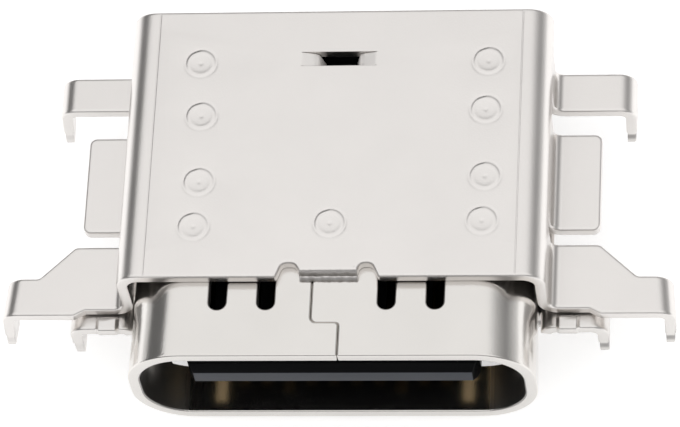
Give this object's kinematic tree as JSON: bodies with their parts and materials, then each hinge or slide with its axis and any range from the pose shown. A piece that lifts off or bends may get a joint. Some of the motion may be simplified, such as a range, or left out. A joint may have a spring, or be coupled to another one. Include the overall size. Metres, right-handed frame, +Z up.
{
  "type": "usb-c socket",
  "caption": "Board-mount socket for a reversible flat plug: rolled steel tube mouth under a folded cover with side lugs and legs, black tongue and gold contacts inside.",
  "frame": {"origin": "middle of the plug opening, in the mouth's front plane", "axes": "+X to the right seen from the front, +Y to the rear, the way a plug goes in, +Z up, away from the board"},
  "size_m": [0.0148, 0.009, 0.0036],
  "materials": {
    "plated_cover": "satin nickel plating on rolled steel sheet",
    "plated_tube": "smooth nickel plating on rolled steel sheet",
    "plated_bracket": "satin nickel plating on rolled steel sheet",
    "inner_steel": "plain steel sheet, hidden inside",
    "black_moulding": "fine matte moulded plastic",
    "gold_contact": "thin gold plating on copper alloy"
  },
  "bodies": {
    "root": {"tube_shell": "plated_tube", "cover_shell": "plated_cover", "lower_bracket": "plated_bracket", "housing": "black_moulding", "upper_contact_carrier": "black_moulding", "lower_contact_carrier": "black_moulding", "mid_plate": "inner_steel", "upper_ground_plate": "inner_steel", "lower_ground_plate": "inner_steel", "upper_contact_01": "gold_contact", "upper_contact_02": "gold_contact", "upper_contact_03": "gold_contact", "upper_contact_04": "gold_contact", "upper_contact_05": "gold_contact", "upper_contact_06": "gold_contact", "upper_contact_07": "gold_contact", "upper_contact_08": "gold_contact", "upper_contact_09": "gold_contact", "upper_contact_10": "gold_contact", "upper_contact_11": "gold_contact", "upper_contact_12": "gold_contact", "lower_contact_01": "gold_contact", "lower_contact_02": "gold_contact", "lower_contact_03": "gold_contact", "lower_contact_04": "gold_contact", "lower_contact_05": "gold_contact", "lower_contact_06": "gold_contact", "lower_contact_07": "gold_contact", "lower_contact_08": "gold_contact", "lower_contact_09": "gold_contact", "lower_contact_10": "gold_contact", "lower_contact_11": "gold_contact", "lower_contact_12": "gold_contact"}
  },
  "joints": []
}
